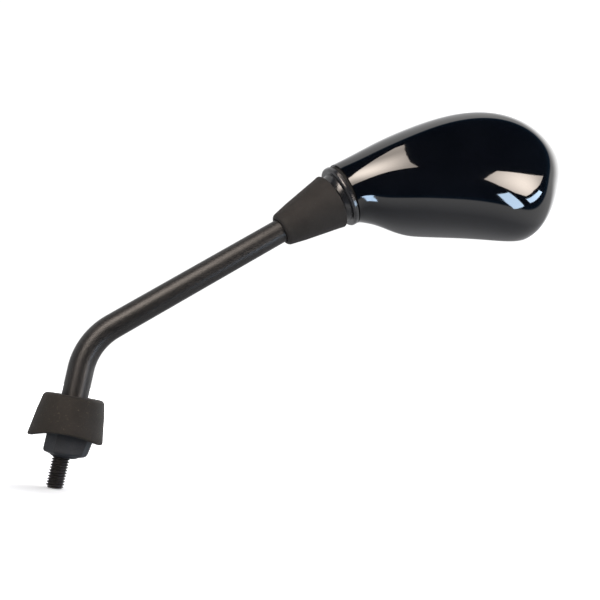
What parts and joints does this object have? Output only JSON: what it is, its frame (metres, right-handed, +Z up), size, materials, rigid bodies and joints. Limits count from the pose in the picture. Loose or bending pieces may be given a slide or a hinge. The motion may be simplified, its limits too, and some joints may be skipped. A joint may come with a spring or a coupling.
{
  "type": "motorcycle mirror",
  "caption": "Rear-view mirror on a bent tube stem with a threaded stud, a rubber base cap and boot, and a gloss housing that turns on a ball joint.",
  "frame": {"origin": "on the stud's axis, at the foot's flat seating face", "axes": "+Z up the stud's axis and the lower stem, +X outboard along the bend, +Y towards the rider, who looks at the glass"},
  "size_m": [0.248, 0.0479, 0.2297],
  "materials": {
    "stud_steel": "black zinc, satin",
    "cast_black": "black coated casting, satin",
    "stem_coat": "black powder coat, satin",
    "ball_steel": "turned steel",
    "cap_rubber": "matte, finely speckled",
    "boot_rubber": "matte, finely speckled",
    "seat_plastic": "natural, waxy",
    "socket_black": "glass-filled, satin",
    "seal_rubber": "matte",
    "zinc_cast": "as cast",
    "spring_steel": "oiled",
    "plain_steel": "zinc plated",
    "ring_steel": "phosphated",
    "shell_gloss": "high gloss black",
    "screw_steel": "zinc plated",
    "backing_black": "satin",
    "foam": "closed-cell foam",
    "mirror": "silvered, convex"
  },
  "bodies": {
    "stem": {"stud": "stud_steel", "stem_foot": "cast_black", "stem_tube": "stem_coat", "ball_stud": "ball_steel"},
    "cap": {"base_cap": "cap_rubber"},
    "boot": {"joint_boot": "boot_rubber"},
    "spin_seat": {"outer_seat": "seat_plastic"},
    "turn_seat": {"inner_seat": "seat_plastic"},
    "head": {"socket_body": "socket_black", "neck_seal": "seal_rubber", "pressure_cap": "zinc_cast", "joint_spring": "spring_steel", "spring_washer": "plain_steel", "retaining_ring": "ring_steel", "housing_shell": "shell_gloss", "socket_screws": "screw_steel", "glass_backing": "backing_black", "backing_screws": "screw_steel", "glass_pad": "foam", "mirror_glass": "mirror"}
  },
  "joints": [
    {"name": "cap_slide", "type": "slide", "parent": "stem", "child": "cap", "axis": [0, 0, 1], "range_m": [0, 0.01]},
    {"name": "boot_slide", "type": "slide", "parent": "stem", "child": "boot", "axis": [-0.7431, 0, -0.6691], "range_m": [0, 0.03]},
    {"name": "head_spin", "type": "hinge", "parent": "stem", "child": "spin_seat", "pos_m": [0.10998, 0, 0.15253], "axis": [0.7431, 0, 0.6691], "continuous": true},
    {"name": "head_turn", "type": "hinge", "parent": "spin_seat", "child": "turn_seat", "pos_m": [0.10998, 0, 0.15253], "axis": [-0.6691, 0, 0.7431], "range_deg": [-8, 8]},
    {"name": "head_nod", "type": "hinge", "parent": "turn_seat", "child": "head", "pos_m": [0.10998, 0, 0.15253], "axis": [0, 1, 0], "range_deg": [-8, 8]}
  ]
}
